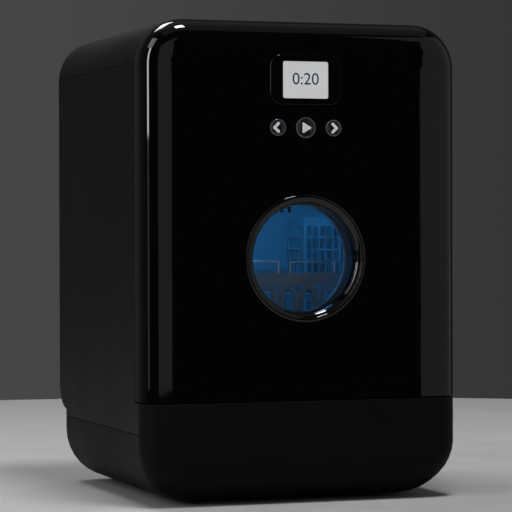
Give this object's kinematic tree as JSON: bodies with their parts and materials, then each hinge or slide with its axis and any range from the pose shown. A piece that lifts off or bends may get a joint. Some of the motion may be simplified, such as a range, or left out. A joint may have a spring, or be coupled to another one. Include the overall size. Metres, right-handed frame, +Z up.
{
  "type": "countertop dishwasher",
  "caption": "Compact countertop dishwasher with a glossy hinged front door, round window, small display with push buttons, pull-out dish basket and rounded case on feet.",
  "frame": {"origin": "on the table under the middle of the machine", "axes": "+X to the right seen from the front, front towards -Y, +Z up along the height"},
  "size_m": [0.34, 0.34, 0.49],
  "materials": {
    "case_black": "fine satin black moulding",
    "gloss_black": "polished piano black",
    "rubber_black": "dull rubber",
    "seal_grey": "soft seal",
    "tub_plastic": "smooth pale moulding",
    "basket_plastic": "satin pale grey moulding",
    "part_grey": "grey technical moulding",
    "frame_dark": "dark technical moulding",
    "steel": "brushed stainless steel",
    "wire": "bright steel wire",
    "clear_glass": "clear tempered glass",
    "clear_cap": "clear moulded cap",
    "white_bush": "acetal bush",
    "board_green": "solder resist",
    "screen": "lit display",
    "lens": "lit diffuser",
    "hose_rubber": "ribless rubber hose"
  },
  "bodies": {
    "case": {"base_pan": "case_black", "front_base_cover": "case_black", "feet": "rubber_black", "left_side_panel": "case_black", "right_side_panel": "case_black", "top_cover": "case_black", "rear_panel": "case_black", "front_frame": "frame_dark", "door_gasket": "seal_grey", "wash_tub": "tub_plastic", "sump": "part_grey", "filter_plate": "steel", "basket_runners": "part_grey", "spray_arm_pivot": "part_grey", "led_lens": "lens", "water_tank": "tub_plastic", "tank_lid": "tub_plastic", "filler_neck": "case_black", "wash_pump_housing": "part_grey", "drain_pump_housing": "part_grey", "heater": "steel", "water_inlet": "part_grey", "drain_outlet": "part_grey", "hoses": "hose_rubber", "power_board": "frame_dark", "cord_gland": "rubber_black", "fan_housing": "frame_dark", "hinge_brackets": "steel", "hinge_pins": "steel", "door_lock": "frame_dark", "case_screws": "steel"},
    "door": {"door_shell": "gloss_black", "door_liner": "tub_plastic", "window_bezel": "gloss_black", "outer_glass": "clear_glass", "inner_glass": "clear_glass", "window_spacer": "frame_dark", "display_frame": "gloss_black", "display_screen": "screen", "control_board": "board_green", "door_strike": "steel", "hinge_bushes": "white_bush", "dispenser_box": "part_grey", "door_screws": "steel"},
    "back_key": {"back_button": "clear_cap", "back_plunger": "frame_dark"},
    "start_key": {"start_button": "clear_cap", "start_plunger": "frame_dark"},
    "next_key": {"next_button": "clear_cap", "next_plunger": "frame_dark"},
    "bolt": {"lock_bolt": "steel"},
    "spray_arm": {"spray_arm": "part_grey"},
    "basket": {"dish_basket": "basket_plastic", "basket_wires": "wire", "cutlery_basket": "basket_plastic"},
    "filler_lid": {"filler_lid": "case_black"},
    "dispenser_lid": {"dispenser_lid": "tub_plastic"},
    "filter_cup": {"filter_cup": "part_grey"},
    "impeller": {"wash_impeller": "part_grey"},
    "fan": {"fan_rotor": "part_grey"}
  },
  "joints": [
    {"name": "door_hinge", "type": "hinge", "parent": "case", "child": "door", "pos_m": [0.164, -0.146, 0.25], "axis": [0, 0, 1], "range_deg": [0, 110]},
    {"name": "back_press", "type": "slide", "parent": "door", "child": "back_key", "axis": [0, 1, 0], "range_m": [0, 0.0012], "stiffness_N_per_m": 900, "springref_m": -0.001},
    {"name": "start_press", "type": "slide", "parent": "door", "child": "start_key", "axis": [0, 1, 0], "range_m": [0, 0.0012], "stiffness_N_per_m": 900, "springref_m": -0.001},
    {"name": "next_press", "type": "slide", "parent": "door", "child": "next_key", "axis": [0, 1, 0], "range_m": [0, 0.0012], "stiffness_N_per_m": 900, "springref_m": -0.001},
    {"name": "lock_slide", "type": "slide", "parent": "case", "child": "bolt", "axis": [1, 0, 0], "range_m": [0, 0.0065]},
    {"name": "spray_spin", "type": "hinge", "parent": "case", "child": "spray_arm", "pos_m": [0, 0.01325, 0.136], "axis": [0, 0, 1], "continuous": true},
    {"name": "basket_slide", "type": "slide", "parent": "case", "child": "basket", "axis": [0, -1, 0], "range_m": [0, 0.008]},
    {"name": "filler_lid_hinge", "type": "hinge", "parent": "case", "child": "filler_lid", "pos_m": [0, 0.135, 0.4878], "axis": [-1, 0, 0], "range_deg": [0, 95]},
    {"name": "dispenser_slide", "type": "slide", "parent": "door", "child": "dispenser_lid", "axis": [1, 0, 0], "range_m": [0, 0.028]},
    {"name": "filter_twist", "type": "hinge", "parent": "case", "child": "filter_cup", "pos_m": [0.07, -0.06, 0.1], "axis": [0, 0, 1], "range_deg": [0, 90]},
    {"name": "impeller_spin", "type": "hinge", "parent": "case", "child": "impeller", "pos_m": [0, -0.06, 0.045], "axis": [1, 0, 0], "continuous": true},
    {"name": "fan_spin", "type": "hinge", "parent": "case", "child": "fan", "pos_m": [0.07, 0.16, 0.318], "axis": [0, 1, 0], "continuous": true}
  ]
}
